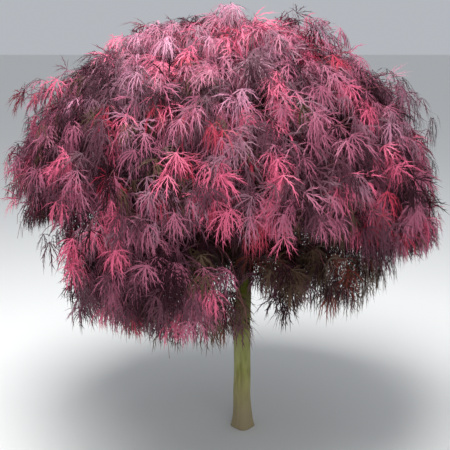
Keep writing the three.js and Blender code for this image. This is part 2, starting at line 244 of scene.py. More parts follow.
# A lobe's spine: places along it and half its width there, as shares of its length
SPINE = [(0.0, 0.011), (0.5, 0.021)]
# Its teeth: where each leaves the spine, and to which side
TEETH = [(0.16, -1), (0.30, 1), (0.46, -1), (0.60, 1)]
TOOTH = {"root": 0.065, "on": 0.23, "aside": 0.11}  # how much spine it takes, and where its tip stands
SAG = (0.25, 0.95)  # how far a lobe bends down along its length

# Bark: the sRGB colours of its streaks, then those of the trunk's foot and head, and the heights
# between which they come in. The head's dark colour is painted shade from the crown over the bark's
# own olive tint
BARK = {"pale": (182, 182, 128), "green": (158, 162, 88), "dark": (122, 122, 64)}
BARK_FOOT = {"colour": (158, 144, 112), "from": 0.28, "to": 0.06}
BARK_HEAD_SHADE = {"colour": (64, 68, 4), "from": 0.20, "to": 0.56}
BOUGH_BARK = {"pale": (120, 104, 82), "green": (88, 74, 54), "dark": (52, 40, 32)}
BARK_ROUGHNESS = 0.85
BARK_SHINE = 0.2
# Its patterns: the scale and detail of each cloud, how much it is drawn out along the wood, and the
# span of the cloud that the pattern takes
STREAKS = {"scale": 90, "detail": 4, "along": 0.12, "span": (0.35, 0.65)}
STAINS = {"scale": 16, "detail": 3, "along": 0.4, "span": (0.42, 0.62)}
GRAIN = {"scale": 220, "detail": 5, "along": 0.2}
GRAIN_BUMP = {"Strength": 0.5, "Distance": 0.002}
TWIG_LOOK = {"colour": (118, 64, 70), "roughness": 0.7, "shine": 0.3}

# Colours of the leaves, sRGB
SHADES = {
    "pink": (207, 88, 121),
    "crimson": (170, 44, 70),
    "rose": (164, 86, 112),
    # A greyish mauve: a leaf colour that also stands for painted grey sheen on the leaves
    "sheen_mauve": (144, 94, 112),
    "plum": (88, 48, 62),
    # A near-black maroon that is painted shade, for leaves deep in the crown and between the sprays
    "maroon": (46, 20, 28),
    "ember": (122, 56, 46),
    "olive": (80, 60, 44),
    # A pale pink that is painted light, for leaves on the sunlit top and in the open
    "lit_blush": (196, 130, 156),
}
LEAF_ROUGHNESS = 0.5
SHINE = {"maroon": 0.08, "plum": 0.2, "olive": 0.2, "ember": 0.2}
COMMON_SHINE = 0.4  # of the other shades
# The chance of each shade, by where a spray is and how old its leaves are. Where it is paints light
# and shade: pale colours at the top are painted light, and dark ones on shaded and inner sprays are
# painted shade
CHANCES = {
    "fresh": {"pink": 0.58, "crimson": 0.22, "rose": 0.20},
    "sunlit": {"rose": 0.33, "sheen_mauve": 0.17, "pink": 0.30, "lit_blush": 0.17, "crimson": 0.03},
    "open": {"plum": 0.34, "rose": 0.27, "sheen_mauve": 0.23, "maroon": 0.11, "lit_blush": 0.05},
    "shaded": {"plum": 0.44, "maroon": 0.25, "rose": 0.19, "sheen_mauve": 0.07, "olive": 0.05},
    # Inner sprays: near-black colours as painted shade inside the crown
    "inner": {"maroon": 0.78, "plum": 0.12, "olive": 0.10},
    "low": {"olive": 0.46, "maroon": 0.34, "plum": 0.12, "ember": 0.08},
}
# Which chances the young leaves of each tier's outer sprays take, and which the older ones. Higher
# tiers take paler chances as painted light; the older leaves' darker chances are partly their age and
# partly painted shade under the tips
LIGHT = {"top": "sunlit", "upper": "open", "shoulder": "shaded", "skirt": "shaded"}
OLDER_LIGHT = {"top": "open", "upper": "shaded", "shoulder": "shaded", "skirt": "shaded"}
# Patches of fresh growth: the turn, fall and radius of those that face the viewer, and how many are
# strewn over the back of the crown, between two radii
PATCHES = [
    (255, 33, 0.09), (216, 37, 0.05), (255, 54, 0.08), (192, 53, 0.13), (238, 58, 0.05),
    (224, 73, 0.08), (263, 68, 0.08), (269, 72, 0.08), (283, 50, 0.08), (283, 71, 0.07),
    (280, 80, 0.08), (235, 78, 0.07), (245, 85, 0.08), (233, 89, 0.07), (329, 33, 0.08),
    (317, 50, 0.08), (319, 71, 0.09), (308, 80, 0.07), (329, 93, 0.07), (243, 110, 0.08),
    (281, 16, 0.08), (205, 73, 0.09), (212, 82, 0.06),
]
BACK_PATCHES = 24
BACK_PATCH_TURNS = (-20, 200)
BACK_PATCH_HEIGHTS = (-0.3, 0.97)  # the cosines of their falls
BACK_PATCH_RADII = (0.06, 0.10)
PATCH_DEPTH = 0.93
PATCH_CHANCE = 0.95  # that a spray in a patch is fresh
FRESH_CHANCE = 0.05  # the same away from the patches
LEAF_STRAY = 0.26  # share of leaves that take the other shade of their spray
SHALLOW = 0.86  # depth beyond which a spray is in the light

# The pieces of foliage: the tiers that each group of them takes in, and its slot
GROUPS = {
    "crown": {"tiers": ("top", "upper"), "slot": "foliage_rose"},
    "shoulder": {"tiers": ("shoulder",), "slot": "foliage_plum"},
    "skirt": {"tiers": ("skirt",), "slot": "foliage_maroon"},
    "low": {"tiers": ("low",), "slot": "foliage_olive"},
}

# The seeds of the random draws
SEEDS = {"trunk": 11, "boughs": 23, "bough_plans": 71, "mass_plans": 7, "patches": 5, "first_mass": 100}
SEED_STEP = 17  # from one mass to the next

# The studio: places and sizes in metres, powers in watts, the camera's tilt in degrees downwards
FLOOR_SIZE = 200
FLOOR_LOOK = {"colour": (232, 232, 230), "roughness": 0.9, "shine": 0.2}
SKY = {"Color": (0.82, 0.86, 0.92, 1), "Strength": 0.56}
LIGHTS = [
    {"name": "sky_light", "place": (-0.5, -1.0, 4.5), "size": 2.6, "power": 255},
    {"name": "fill_light", "place": (1.5, -4.0, 2.0), "size": 3.0, "power": 28},
]
CAMERA = {"place": (-0.07, -3.0, 1.5), "tilt": 12.7, "lens": 64.8}


# Small sums

def mix(start, end, share):
    return start + (end - start) * share


def unit(vectors):
    return vectors / np.linalg.norm(vectors, axis=-1, keepdims=True)


def seeded(seed):
    """A seeded stream of numbers from 0 to 1, the one that laid out the solids."""
    state = seed
    while True:
        state = (state * 1664525 + 1013904223) % 2**32
        yield state / 2**32


def linear(colour):
    """An sRGB colour from 0 to 255 as linear RGBA."""
    shares = np.array(colour) / 255
    return (*np.where(shares <= 0.04045, shares / 12.92, ((shares + 0.055) / 1.055) ** 2.4), 1.0)


# The crown

def around(values, turn):
    """A value at any turn, eased between those given at equal steps round the crown."""
    place = np.mod(np.asarray(turn) / 360, 1) * len(values)
    index = np.floor(place).astype(int)
    ease = (1 - np.cos((place - index) * math.pi)) / 2
    values = np.asarray(values)
    return mix(values[index % len(values)], values[(index + 1) % len(values)], ease)


def crown_point(turn, fall, depth):
    out = around(REACH, turn) * np.sin(np.radians(fall)) * depth
    shift = SHIFT["x"] * np.minimum(depth / SHIFT["depth"], 1)
    x = shift + out * np.cos(np.radians(turn))
    y = out * np.sin(np.radians(turn))
    z = HEART + RISE * np.cos(np.radians(fall)) * depth
    return np.stack(np.broadcast_arrays(x, y, z), -1)


def crown_place(points):
    """The turn, fall and depth of points."""
    x, y, z = np.moveaxis(points, -1, 0)
    x = x - SHIFT["x"]
    turn = np.degrees(np.arctan2(y, x))
    out = np.hypot(x, y) / around(REACH, turn)
    high = (z - HEART) / RISE
    return turn, np.degrees(np.arctan2(out, high)), np.hypot(out, high)


def surface_ways(points):
    """The way out of the crown and the way down its surface, at points."""
    turn, fall, _ = crown_place(points)
    safe = np.maximum(fall, LEAST_FALL)
    down = unit(crown_point(turn, safe + 1, 1) - crown_point(turn, safe - 1, 1))
    side = unit(crown_point(turn + 1, safe, 1) - crown_point(turn - 1, safe, 1))
    return unit(np.cross(down, side)), down


# Curves and tubes

def curve_stretch(before, start, end, after, shares):
    """Points from start to end on a centripetal Catmull-Rom curve."""
    gaps = [np.linalg.norm(b - a) ** 0.5 for a, b in ((before, start), (start, end), (end, after))]
    leave = (start - before) / gaps[0] - (end - before) / (gaps[0] + gaps[1]) + (end - start) / gaps[1]
    arrive = (end - start) / gaps[1] - (after - start) / (gaps[1] + gaps[2]) + (after - end) / gaps[2]
    leave = leave * gaps[1]
    arrive = arrive * gaps[1]
    square = 3 * (end - start) - 2 * leave - arrive
    cube = 2 * (start - end) + leave + arrive
    return start + leave * shares + square * shares**2 + cube * shares**3


def curve_points(stops, count, steps=40):
    """Evenly spaced points along a curve through the stops."""
    stops = np.asarray(stops, float)
    ends = np.vstack([2 * stops[0] - stops[1], stops, 2 * stops[-1] - stops[-2]])
    shares = np.linspace(0, 1, steps, endpoint=False)[:, None]
    fine = [curve_stretch(*ends[i : i + 4], shares) for i in range(len(stops) - 1)]
    fine = np.vstack([*fine, stops[-1:]])
    lengths = np.concatenate([[0], np.cumsum(np.linalg.norm(np.diff(fine, axis=0), axis=1))])
    wanted = np.linspace(0, lengths[-1], count)
    return np.stack([np.interp(wanted, lengths, fine[:, axis]) for axis in range(3)], axis=1)


def arcs(starts, ends, leaving, arriving, rings):
    """Curves from starts to ends that set off one way and come in another."""
    reach = np.linalg.norm(ends - starts, axis=1)[:, None] * ARC
    stops = [starts, starts + leaving * reach, ends - arriving * reach, ends]
    share = np.linspace(0, 1, rings)[None, :, None]
    weights = [(1 - share) ** 3, 3 * (1 - share) ** 2 * share, 3 * (1 - share) * share**2, share**3]
    return sum(weight * stop[:, None] for weight, stop in zip(weights, stops))


def across_ways(paths):
    """Two ways across each path at each of its points, carried along it without twisting."""
    tangents = unit(np.gradient(paths, axis=1))
    least = np.argmin(np.abs(tangents[:, 0]), axis=1)
    normal = np.eye(3)[least]
    first = np.empty_like(paths)
    for ring in range(paths.shape[1]):
        tangent = tangents[:, ring]
        normal = unit(normal - np.sum(normal * tangent, axis=1, keepdims=True) * tangent)
        first[:, ring] = normal
    return first, np.cross(tangents, first)


def wall_faces(rings, sides):
    """The triangles of a wall of rings, closed at both ends on two more points after them."""
    ring, side = np.meshgrid(np.arange(rings - 1), np.arange(sides), indexing="ij")
    here = (ring * sides + side).ravel()
    beside = (ring * sides + (side + 1) % sides).ravel()
    lower = np.stack([here, beside, beside + sides], 1)
    upper = np.stack([here, beside + sides, here + sides], 1)
    rim = np.arange(sides)
    next_rim = (rim + 1) % sides
    last = (rings - 1) * sides
    start_pole = np.full(sides, rings * sides)
    start_cap = np.stack([start_pole, next_rim, rim], 1)
    end_cap = np.stack([start_pole + 1, last + rim, last + next_rim], 1)
    return np.vstack([lower, upper, start_cap, end_cap])


def repeated(faces, count, step):
    """The faces of count like shapes, each with step points."""
    return (faces[None] + (np.arange(count) * step)[:, None, None]).reshape(-1, 3)


def tubes(paths, radii, sides):
    """Closed tubes along paths. radii has a number for every ring, or for every side of every ring."""
    count, rings, _ = paths.shape
    first, second = across_ways(paths)
    angles = np.linspace(0, 2 * math.pi, sides, endpoint=False)
    spokes = first[:, :, None] * np.cos(angles)[:, None] + second[:, :, None] * np.sin(angles)[:, None]
    if radii.ndim == 2:
        radii = radii[:, :, None]
    walls = paths[:, :, None] + spokes * radii[..., None]
    points = np.concatenate([walls.reshape(count, -1, 3), paths[:, :1], paths[:, -1:]], axis=1)
    return points.reshape(-1, 3), repeated(wall_faces(rings, sides), count, points.shape[1])


def joined(shapes):
    """Several (points, faces) as one."""
    points = np.vstack([shape[0] for shape in shapes])
    starts = np.cumsum([0] + [len(shape[0]) for shape in shapes[:-1]])
    return points, np.vstack([shape[1] + start for shape, start in zip(shapes, starts)])


# Pieces

def make_piece(name, shape, material, nodes):
    """A piece of the plant that stands for CAD nodes."""
    points, faces = shape
    mesh = bpy.data.meshes.new(name)
    mesh.from_pydata(points.tolist(), [], faces.tolist())
    mesh.shade_smooth()
    mesh.materials.append(material)
    piece = bpy.data.objects.new(name, mesh)
    bpy.context.scene.collection.objects.link(piece)
    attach(piece, "root")
    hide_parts(*nodes)


def plain_material(name, colour, roughness, shine):
    """A surface of one colour."""
    material = bpy.data.materials.new(name)
    material.use_nodes = True
    shader = material.node_tree.nodes["Principled BSDF"]
    shader.inputs["Base Color"].default_value = linear(colour)
    shader.inputs["Roughness"].default_value = roughness
    shader.inputs["Specular IOR Level"].default_value = shine
    return material


def noise(tree, place, pattern):
    """A cloud that is drawn out along the wood."""
    stretch = tree.nodes.new("ShaderNodeMapping")
    stretch.inputs["Scale"].default_value = (1, 1, pattern["along"])
    tree.links.new(place, stretch.inputs["Vector"])
    cloud = tree.nodes.new("ShaderNodeTexNoise")
    cloud.inputs["Scale"].default_value = pattern["scale"]
    cloud.inputs["Detail"].default_value = pattern["detail"]
    tree.links.new(stretch.outputs["Vector"], cloud.inputs["Vector"])
    return cloud.outputs["Fac"]


def between(tree, value, start, end):
    """0 where value is at start, 1 where it is at end."""
    span = tree.nodes.new("ShaderNodeMapRange")
    span.inputs["From Min"].default_value = start
    span.inputs["From Max"].default_value = end
    tree.links.new(value, span.inputs["Value"])
    return span.outputs["Result"]


def blended(tree, first, second, share):
    """Two colours mixed. Each is an sRGB colour or the output of a node."""
    blend = tree.nodes.new("ShaderNodeMix")
    blend.data_type = "RGBA"
    colour_sockets = [socket for socket in blend.inputs if socket.type == "RGBA"]
    for socket, value in zip(colour_sockets, (first, second)):
        if isinstance(value, tuple):
            socket.default_value = linear(value)
        else:
            tree.links.new(value, socket)
    tree.links.new(share, blend.inputs["Factor"])
    return next(socket for socket in blend.outputs if socket.type == "RGBA")


def bark_material(name, colours, ends=()):
    """Bark with pale and dark streaks along it, and any colours given for its ends: its own at the
    trunk's foot, and at its head a dark olive that is painted shade from the crown.
    """
    material = bpy.data.materials.new(name)
    material.use_nodes = True
    tree = material.node_tree
    shader = tree.nodes["Principled BSDF"]
    shader.inputs["Roughness"].default_value = BARK_ROUGHNESS
    shader.inputs["Specular IOR Level"].default_value = BARK_SHINE
    place = tree.nodes.new("ShaderNodeTexCoord").outputs["Object"]
    streaks = between(tree, noise(tree, place, STREAKS), *STREAKS["span"])
    stains = between(tree, noise(tree, place, STAINS), *STAINS["span"])
    colour = blended(tree, colours["dark"], colours["green"], streaks)
    colour = blended(tree, colour, colours["pale"], stains)
    height = tree.nodes.new("ShaderNodeSeparateXYZ")
    tree.links.new(place, height.inputs["Vector"])
    for end in ends:
        share = between(tree, height.outputs["Z"], end["from"], end["to"])
        colour = blended(tree, colour, end["colour"], share)
    tree.links.new(colour, shader.inputs["Base Color"])
    bump = tree.nodes.new("ShaderNodeBump")
    for key, value in GRAIN_BUMP.items():
        bump.inputs[key].default_value = value
    tree.links.new(noise(tree, place, GRAIN), bump.inputs["Height"])
    tree.links.new(bump.outputs["Normal"], shader.inputs["Normal"])
    return material


# The wood

def trunk_middle(height):
    """The trunk's middle at a height: it sways a little and leans to the right."""
    height = np.asarray(height, float)
    share = np.maximum(0, height) / TRUNK["top"]
    aside, forth = (np.sin(waves * share * math.pi) for waves in TRUNK["sway_waves"])
    x = TRUNK["lean"] * share**2 - TRUNK["sway"][0] * aside
    y = TRUNK["sway"][1] * share * forth
    return np.stack([x, y, height], -1)


def trunk_radius(height, angle):
    """The trunk's radius: low ridges flare at the foot, and the head is rounded over the graft."""
    ridged = 1 + TRUNK["ridge_depth"] * np.cos(TRUNK["ridges"] * angle)
    flare = (TRUNK["foot"] - TRUNK["girth"]) * np.exp(-height / TRUNK["flare_height"]) * ridged
    bole = mix(TRUNK["girth"], TRUNK["neck"], np.minimum(height / TRUNK["neck_height"], 1))
    from_graft = height - TRUNK["graft_height"]
    swelling = (TRUNK["graft"] - TRUNK["neck"]) * np.exp(-((from_graft / TRUNK["graft_spread"]) ** 2))
    over_graft = np.maximum(0, from_graft) / (TRUNK["top"] - TRUNK["graft_height"])
    rounding = np.sqrt(np.maximum(0, 1 - over_graft**2))
    return (bole + flare + swelling) * mix(TRUNK["head_share"], 1, rounding)


def bark_relief(angle, along, random):
    """Shallow fissures that run along the wood, wandering as they go."""
    relief = 0
    for count, height in BARK_WAVES:
        slant = random.uniform(-BARK_SLANT, BARK_SLANT)
        phases = random.uniform(0, 2 * math.pi, 2)
        wander = BARK_WANDER[0] * np.sin(BARK_WANDER[1] * along + phases[0])
        relief = relief + height * np.sin(count * angle + slant * along + wander + phases[1])
    return relief


def trunk_shape():
    random = np.random.default_rng(SEEDS["trunk"])
    share = np.linspace(0, 1, TRUNK_RINGS)[:, None]
    height = TRUNK["top"] * share
    angle = np.linspace(0, 2 * math.pi, TRUNK_SIDES, endpoint=False)[None]
    radius = trunk_radius(height, angle) + bark_relief(angle, height, random)
    middle = trunk_middle(height[:, 0])
    spokes = np.stack([np.cos(angle[0]), np.sin(angle[0]), np.zeros(TRUNK_SIDES)], -1)
    walls = middle[:, None] + spokes[None] * radius[..., None]
    points = np.vstack([walls.reshape(-1, 3), middle[:1], middle[-1:]])
    return points, wall_faces(TRUNK_RINGS, TRUNK_SIDES)


def bough_stops(root, turn, places, random):
    """A bough's root, then the places it passes. It wanders to either side on the way to its tip."""
    stops = [root]
    for i, (aside, fall, depth, lift) in enumerate(places):
        stray = BOUGH_STRAY * (next(random) - 0.5) if i < len(places) - 1 else 0
        stops.append(crown_point(turn + aside + stray, fall, depth) + UP * lift)
    return stops


def has_skirt(sector):
    """Whether the crown hangs lower than its shoulder masses in a sector."""
    return RIM[sector - 1] > TIER_FALLS["shoulder"][1]


def bough_plans():
    """The name, kind, stops and radii of every bough."""
    random = seeded(SEEDS["bough_plans"])
    plans = []

    def plan(kind, number, root, turn):
        bough = BOUGHS[kind]
        stops = bough_stops(root, turn, bough["places"], random)
        name = kind + (f"_{number}" if number else "")
        plans.append({"name": name, "kind": kind, "stops": stops, "radii": bough["radii"]})
        return stops

    plan("leader", None, trunk_middle(BOUGHS["leader"]["height"]), 0)
    for i in range(1, SECTORS + 1):
        turn = 360 / SECTORS * (i - 1)
        limb = plan("limb", i, trunk_middle(BOUGHS["limb"]["height"]), turn)
        finely = curve_points(limb, FINE_POINTS)
        fork = finely[round((FINE_POINTS - 1) * BOUGHS["shoulder_bough"]["fork"])]
        plan("shoulder_bough", i, fork, turn)
        if has_skirt(i):
            plan("skirt_bough", i, trunk_middle(BOUGHS["skirt_bough"]["height"]), turn)
    return plans


def bough_shape(plans):
    """Tapering limbs with a collar at the root and bark's relief."""
    random = np.random.default_rng(SEEDS["boughs"])
    paths = np.stack([curve_points(plan["stops"], BOUGH_RINGS) for plan in plans])
    share = np.linspace(0, 1, BOUGH_RINGS)
    angle = np.linspace(0, 2 * math.pi, BOUGH_SIDES, endpoint=False)[None]
    radii = []
    for plan in plans:
        girth = mix(*plan["radii"], share) * (1 + COLLAR[0] * np.exp(-share / COLLAR[1]))
        relief = bark_relief(angle, share[:, None], random) / BARK_WAVES[0][1]
        radii.append(girth[:, None] * (1 + BOUGH_RELIEF * relief))
    return tubes(paths, np.stack(radii), BOUGH_SIDES)


# The masses of foliage

def rim_over(turn):
    """The fall of the lowest rim over a low mass at a turn."""
    edges = (turn - LOW["half"], turn, turn + LOW["half"])
    return max(RIM[math.floor(edge / 360 * SECTORS)] for edge in edges)


def mass_plans():
    """The cell of each mass, and the bough that carries it."""
    random = seeded(SEEDS["mass_plans"])
    half = 180 / SECTORS
    plans = []

    def plan(tier, number, turn, half, falls, outer, bough):
        name = f"{tier}_mass" + (f"_{number}" if number else "")
        cell = {"turn": turn, "half": half, "falls": falls, "depths": (INNER_DEPTH, outer)}
        plans.append({"tier": tier, "name": name, "bough": bough, "lean": TILE_LEAN, **cell})

    plan("top", None, 0, 180, TIER_FALLS["top"], 1, "leader")
    roof, floor = TIER_FALLS["shoulder"]
    for i in range(1, SECTORS + 1):
        turn = 2 * half * (i - 1)
        rim = RIM[i - 1]
        plan("upper", i, turn, half, TIER_FALLS["upper"], mix(*OUTER_DEPTHS, next(random)), f"limb_{i}")
        falls = (roof, min(floor, rim))
        outer = mix(*OUTER_DEPTHS, next(random))
        plan("shoulder", i, turn + SHOULDER_TWIST, half, falls, outer, f"shoulder_bough_{i}")
        if has_skirt(i):
            outer = mix(*OUTER_DEPTHS, next(random))
            plan("skirt", i, turn + half, half, (floor, rim), outer, f"skirt_bough_{i}")
    return plans + low_plans()


def low_plans():
    """The cells of the low masses, which grow on the trunk itself."""
    plans = []
    for i, (turn, floor) in enumerate(zip(LOW_TURNS, LOW_FLOORS)):
        roof = rim_over(turn) + LOW["under"]
        falls = (roof, roof + LOW["hang"])
        place = {"turn": turn, "falls": falls, "lean": 0, "floor": floor}
        plans.append({**LOW, **place, "tier": "low", "name": f"low_mass_{i + 1}", "bough": None})
    return plans


def cell_point(plan, wide, high, deep):
    """Points at shares of a cell's width, height and depth."""
    depth = mix(*plan["depths"], deep)
    leaned = 0 if plan["tier"] == "top" else plan["lean"] * (depth - UPRIGHT_DEPTH)
    turn = plan["turn"] + mix(-plan["half"], plan["half"], wide) + leaned
    return crown_point(turn, mix(*plan["falls"], high) + leaned, depth)


def in_reach(plan, points, deepest):
    """Whether points are no further out than a depth, and above the rim or a low cell's floor."""
    turn, fall, depth = crown_place(points)
    sector = np.floor(np.mod(turn, 360) * SECTORS / 360).astype(int)
    if plan["tier"] == "low":
        return (depth < deepest) & ((fall < plan["falls"][1]) | (points[:, 2] > plan["floor"]))
    fringe = np.interp(np.mod(turn, 360), FRINGE["turns"], FRINGE["falls"])
    floor = np.where(sector == OPEN_SECTOR - 1, fringe, np.array(RIM)[sector] + FLOOR_SPARE)
    return (depth < deepest) & (fall < floor)


def in_box(points):
    """Whether points are hardly out of the solids' box."""
    low, high = (np.array(corner) for corner in CAD_BOX)
    return np.all((points > low - BOX_SPARE) & (points < high + BOX_SPARE), axis=1)


def trunk_side(plan):
    """Where a low mass's stem leaves the trunk, and which way."""
    turn = math.radians(plan["turn"])
    way = unit(np.array([math.cos(turn), math.sin(turn), -plan["dip"]]))
    return trunk_middle(plan["height"]) + way * (TRUNK["neck"] - plan["sink"]), way


def stem_path(plan, ends):
    """A mass's stem: on from its bough's tip, then down the middle of the cell."""
    tip, way = ends[plan["bough"]] if plan["bough"] else trunk_side(plan)
    start = tip + way * CLEAR
    heights = STEM["at_top"] if plan["tier"] == "top" else STEM["heights"]
    onward = [cell_point(plan, 0.5, height, STEM["depth"]) for height in heights]
    return curve_points([start, start + way * STEM["onward"], *onward], STEM["rings"])


def spaced_places(plan, count, gap, deep, random):
    """Places in a cell, no two of them nearer than a gap, which narrows where the cell is full."""
    # The top cell is round, so it has less room near its middle
    evenly = 0.5 if plan["tier"] == "top" else 1
    tries = count * TRIES
    wide, high, depth = random.random((3, tries))
    height = mix(HIGHEST_TIP, LOWEST_TIP[plan["tier"]], high**evenly)
    points = cell_point(plan, wide, height, mix(*deep, depth))
    kept = []
    for i, point in enumerate(points):
        room = gap * (1 - i / tries)
        if kept and np.min(np.linalg.norm(points[kept] - point, axis=1)) < room:
            continue
        kept.append(i)
        if len(kept) == count:
            break
    return points[kept].reshape(-1, 3)


def sprigs_of(plan):
    """The tips of a mass's sprigs: those in its cell, or under its roof if it is a low mass."""
    is_low = plan["tier"] == "low"
    turn, fall, depth = np.array(LOW_SPRIGS if is_low else OUTER_SPRIGS, float).T
    aside = np.abs(np.mod(turn - plan["turn"] + 180, 360) - 180)
    roof, floor = plan["falls"]
    own = (aside <= plan["half"]) & (fall >= roof)
    if not is_low:
        own &= fall < floor
    return crown_point(turn, fall, depth)[own]


def nearest(places, points):
    """The index of the place nearest to each point."""
    return np.argmin(np.linalg.norm(points[:, None] - places[None], axis=2), axis=1)


def twigs_from(paths, tips, kind, random):
    """Twigs of a kind, which leave the nearest places on the paths, rise a little, and then hang."""
    places = paths[:, FIRST_FORK:].reshape(-1, 3)
    ways = unit(np.gradient(paths, axis=1))[:, FIRST_FORK:].reshape(-1, 3)
    chosen = nearest(places, tips)
    out, down = surface_ways(tips)
    straight = unit(tips - places[chosen])
    leaving = straight + ways[chosen] * SETTING_OFF["onward"] + UP * kind["lift"]
    leaving = unit(leaving + random.normal(0, SETTING_OFF["stray"], tips.shape))
    arriving = down + out * COMING_IN["out"] - UP * COMING_IN["drop"]
    arriving = unit(arriving + random.normal(0, COMING_IN["stray"], tips.shape))
    return arcs(places[chosen], tips, leaving, arriving, kind["rings"])


def taper(radii, count, rings):
    return np.broadcast_to(np.linspace(*radii, rings), (count, rings))


# Leaves

def shade_numbers(kind, count, random):
    """The shades of count sprays of a kind, as numbers in the list of shades."""
    names = list(SHADES)
    chances = [CHANCES[kind].get(name, 0) for name in names]
    return random.choice(len(names), count, p=np.array(chances) / sum(chances))


def fresh_patches():
    """The middles and radii of the patches of fresh growth on the crown's surface."""
    random = np.random.default_rng(SEEDS["patches"])
    turn, fall, radius = np.array(PATCHES).T
    back_turn = random.uniform(*BACK_PATCH_TURNS, BACK_PATCHES)
    back_fall = np.degrees(np.arccos(random.uniform(*BACK_PATCH_HEIGHTS, BACK_PATCHES)))
    back_radius = random.uniform(*BACK_PATCH_RADII, BACK_PATCHES)
    turns = np.concatenate([turn, back_turn])
    falls = np.concatenate([fall, back_fall])
    return crown_point(turns, falls, PATCH_DEPTH), np.concatenate([radius, back_radius])


def spray_shades(plan, tips, patches, random):
    """The shade of each spray's young leaves and that of its older ones. Sprays deep in the crown take
    near-black colours as painted shade, the others their tier's colours of painted light.
    """
    count = len(tips)
    tier = plan["tier"]
    if tier == "low":
        return shade_numbers("low", count, random), shade_numbers("low", count, random)
    _, _, depth = crown_place(tips)
    shallow = depth > SHALLOW
    middles, radii = patches
    near = np.any(np.linalg.norm(tips[:, None] - middles[None], axis=2) < radii, axis=1)
    fresh = random.random(count) < np.where(near, PATCH_CHANCE, FRESH_CHANCE)
    fresh_shades = shade_numbers("fresh", count, random)
    outer = np.where(fresh, fresh_shades, shade_numbers(LIGHT[tier], count, random))
    outer_older = shade_numbers(OLDER_LIGHT[tier], count, random)
    # Deep sprays, their young leaves too, take near-black colours as painted shade
    older = np.where(shallow, outer_older, shade_numbers("inner", count, random))
    return np.where(shallow, outer, older), older


def merged(batches):
    """Several batches of leaves as one."""
    return {key: np.concatenate([batch[key] for batch in batches]) for key in batches[0]}


def leaf_at_each(shoots, ways, place, shades, random):
    """A leaf on every shoot, at one share of its length, with an angle round it and a lean from it."""
    share, angle, lean = place
    tangents, first, second = ways
    own, other = shades
    count, rings, _ = shoots.shape
    ring = round(share * (rings - 1))
    node = shoots[:, ring]
    radial = first[:, ring] * np.cos(angle)[:, None] + second[:, ring] * np.sin(angle)[:, None]
    stalk_way = unit(tangents[:, ring] + radial * lean - UP * STALK_DROP)
    stalk = random.uniform(*STALK, count)
    middle = node + stalk_way * stalk[:, None]
    out, down = surface_ways(middle)
    ahead = stalk_way * BLADE_WAY["stalk"] + down * BLADE_WAY["down"] - UP * BLADE_WAY["drop"]
    ahead = unit(ahead + random.normal(0, BLADE_WAY["stray"], node.shape))
    facing = unit(out + random.normal(0, FACING_STRAY, node.shape))
    facing = unit(facing - np.sum(facing * ahead, axis=1, keepdims=True) * ahead)
    shade = np.where(random.random(count) < LEAF_STRAY, other, own)
    return {"node": node, "middle": middle, "ahead": ahead, "facing": facing, "shade": shade}


def leaves_on(plan, shoots, shades, deepest, breadths, random):
    """The leaves of every shoot: one at its tip and pairs behind it, each on a stalk of its own."""
    ways = (unit(np.gradient(shoots, axis=1)), *across_ways(shoots))
    spin = random.uniform(0, 2 * math.pi, len(shoots))
    batches = [leaf_at_each(shoots, ways, (1, spin, TIP_LEAN), shades, random)]
    for i, share in enumerate(PAIR_PLACES):
        pair_shades = shades if i < YOUNG_PAIRS else shades[::-1]
        for half_turn in (0, math.pi):
            angle = spin + i * math.pi / 2 + half_turn
            batches.append(leaf_at_each(shoots, ways, (share, angle, PAIR_LEAN), pair_shades, random))
    leaves = merged(batches)
    leaves["breadth"] = np.tile(breadths, len(batches))
    leaves["length"] = random.uniform(*BLADE, len(leaves["node"]))
    tips = leaves["middle"] + leaves["ahead"] * leaves["length"][:, None]
    inside = in_reach(plan, tips, np.tile(deepest, len(batches))) & in_box(tips)
    aside = np.cross(leaves["facing"], leaves["ahead"]) * leaves["length"][:, None] * LOBE_LIMIT
    inside &= in_box(leaves["middle"] + aside) & in_box(leaves["middle"] - aside)
    return {key: values[inside] for key, values in leaves.items()}


def lobe_outline():
    """A lobe's points, along it and aside, and its triangles: the spine's, then one for each tooth."""
    points = []
    faces = []
    for along, half in SPINE:
        left = len(points)
        points += [(along, -half), (along, half)]
        if along < SPINE[-1][0]:
            faces += [(left, left + 1, left + 3), (left, left + 3, left + 2)]
    faces.append((left, left + 1, left + 2))
    points.append((1, 0))
    for along, side in TEETH:
        root = len(points)
        tooth_tip = (along + TOOTH["on"], side * TOOTH["aside"])
        points += [(along, 0), (along + TOOTH["root"], 0), tooth_tip]
        faces.append((root, root + 1, root + 2))
    return points, faces


def leaf_shape(leaves, random):
    """Lace leaves: narrow lobes with fine teeth, which spread from the end of a stalk and bend down."""
    count = len(leaves["node"])
    lobes = len(LOBE_TURNS)
    ahead = leaves["ahead"][:, None]
    facing = leaves["facing"][:, None]
    turns = np.radians(LOBE_TURNS + random.normal(0, LOBE_STRAY, (count, lobes)))[..., None]
    ways = ahead * np.cos(turns) + np.cross(facing, ahead) * np.sin(turns)
    sideways = np.cross(facing, ways)
    sag = -UP + ways * ways[..., 2:]
    sag_size = random.uniform(*SAG, (count, 1, 1))
    stray = random.uniform(*LOBE_LENGTH_STRAY, (count, lobes))
    lengths = (leaves["length"][:, None] * LOBE_LENGTHS * stray)[..., None]
    breadths = leaves["breadth"][:, None, None]

    def lobe_points(along, aside):
        spine = ways * along + sag * sag_size * along**2
        return leaves["middle"][:, None] + (spine + sideways * aside * breadths) * lengths

    outline, faces = lobe_outline()
    lobe_mesh = np.stack([lobe_points(along, aside) for along, aside in outline], axis=2)
    blades = lobe_mesh.reshape(-1, 3), repeated(np.array(faces), count * lobes, len(outline))
    return joined([blades, stalk_shape(leaves)])


